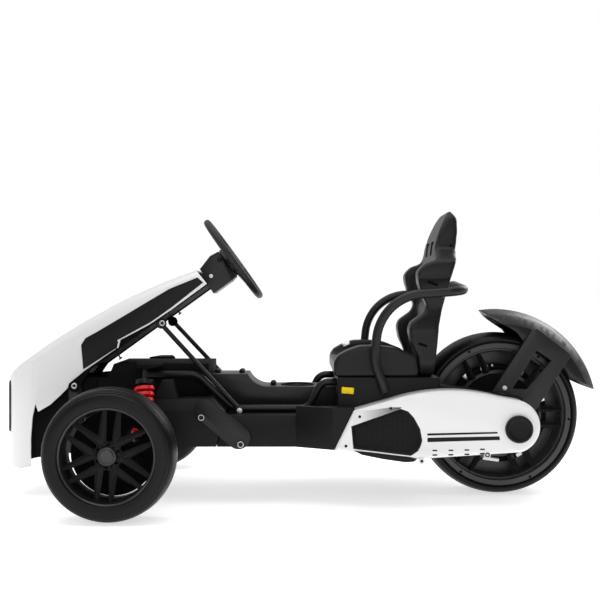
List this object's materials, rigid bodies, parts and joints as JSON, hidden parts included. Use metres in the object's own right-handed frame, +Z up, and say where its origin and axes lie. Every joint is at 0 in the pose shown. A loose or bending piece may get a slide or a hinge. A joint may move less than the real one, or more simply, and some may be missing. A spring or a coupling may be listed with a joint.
{
  "type": "child's electric ride-on racing kart",
  "caption": "Low child's racing kart with a bucket seat, a sloping hood, steered front wheels on wishbones and one wide rear wheel under a fender.",
  "frame": {"origin": "centre of the kart's box at floor level, under the middle of its length and width", "axes": "+X to the kart's left, +Y to its rear, +Z up"},
  "size_m": [0.744, 1.2901, 0.615],
  "materials": {
    "tyre_rubber": "black moulded rubber",
    "white_gloss": "gloss white moulding",
    "black_satin": "satin black moulding",
    "black_matte": "matte black moulding with a fine grain",
    "black_metal": "black powder coat",
    "mesh_black": "black mesh",
    "rim_black": "satin black rim",
    "drum_dark": "dark painted drum",
    "bare_steel": "zinc plated",
    "spring_red": "red powder coat",
    "grip_black": "black grip",
    "seat_grey": "dark grey moulded seat",
    "reflector_amber": "amber reflector"
  },
  "bodies": {
    "chassis": {"hood": "white_gloss", "side_cover_left": "white_gloss", "side_cover_right": "white_gloss", "hood_insets": "black_satin", "nose_insert": "black_satin", "column_housing": "black_satin", "console": "black_satin", "front_housing": "black_satin", "fender": "black_satin", "fender_brackets": "black_satin", "sills": "black_satin", "seat_base": "black_satin", "rear_pods": "black_satin", "cover_caps": "black_satin", "front_floor": "black_matte", "rear_floor": "black_matte", "nose_backing": "black_matte", "pedals": "black_matte", "keel": "black_metal", "column_frame": "black_metal", "hinge_brackets": "black_metal", "frame_rail_left": "black_metal", "frame_rail_right": "black_metal", "hood_struts": "black_metal", "link_arms": "black_metal", "armrest_hoop": "black_metal", "wishbones_left": "black_metal", "wishbones_right": "black_metal", "damper_towers": "black_metal", "dampers": "black_metal", "side_grilles": "mesh_black", "rear_axle": "bare_steel", "coil_springs": "spring_red", "seat_cushion": "seat_grey", "seat_back": "seat_grey", "reflectors": "reflector_amber"},
    "steering": {"steering_wheel": "grip_black", "steering_shaft": "bare_steel"},
    "track_rod": {"track_rod": "black_metal"},
    "knuckle_left": {"knuckle_left": "black_metal"},
    "knuckle_right": {"knuckle_right": "black_metal"},
    "wheel_front_left": {"front_tyre_left": "tyre_rubber", "front_rim_left": "rim_black"},
    "wheel_front_right": {"front_tyre_right": "tyre_rubber", "front_rim_right": "rim_black"},
    "wheel_rear": {"rear_tyre": "tyre_rubber", "rear_rim": "rim_black", "rear_drum": "drum_dark"}
  },
  "joints": [
    {"name": "steering_turn", "type": "hinge", "parent": "chassis", "child": "steering", "pos_m": [0, -0.1525, 0.511], "axis": [0, 0.8111, 0.585], "range_deg": [-40, 40]},
    {"name": "track_rod_shift", "type": "slide", "parent": "chassis", "child": "track_rod", "axis": [1, 0, 0], "range_m": [-0.025, 0.025]},
    {"name": "knuckle_left_turn", "type": "hinge", "parent": "chassis", "child": "knuckle_left", "pos_m": [0.25, -0.367, 0.128], "axis": [0, 0, 1], "range_deg": [-26, 26]},
    {"name": "knuckle_right_turn", "type": "hinge", "parent": "chassis", "child": "knuckle_right", "pos_m": [-0.25, -0.367, 0.128], "axis": [0, 0, 1], "range_deg": [-26, 26]},
    {"name": "wheel_front_left_spin", "type": "hinge", "parent": "knuckle_left", "child": "wheel_front_left", "pos_m": [0.322, -0.367, 0.128], "axis": [1, 0, 0], "continuous": true},
    {"name": "wheel_front_right_spin", "type": "hinge", "parent": "knuckle_right", "child": "wheel_front_right", "pos_m": [-0.322, -0.367, 0.128], "axis": [1, 0, 0], "continuous": true},
    {"name": "wheel_rear_spin", "type": "hinge", "parent": "chassis", "child": "wheel_rear", "pos_m": [0, 0.424, 0.175], "axis": [1, 0, 0], "continuous": true}
  ],
  "couplings": [
    {"joint": "track_rod_shift", "follows": "steering_turn", "m_per_rad": 0.033146},
    {"joint": "knuckle_left_turn", "follows": "steering_turn", "ratio": 0.62202},
    {"joint": "knuckle_right_turn", "follows": "steering_turn", "ratio": 0.62202}
  ]
}
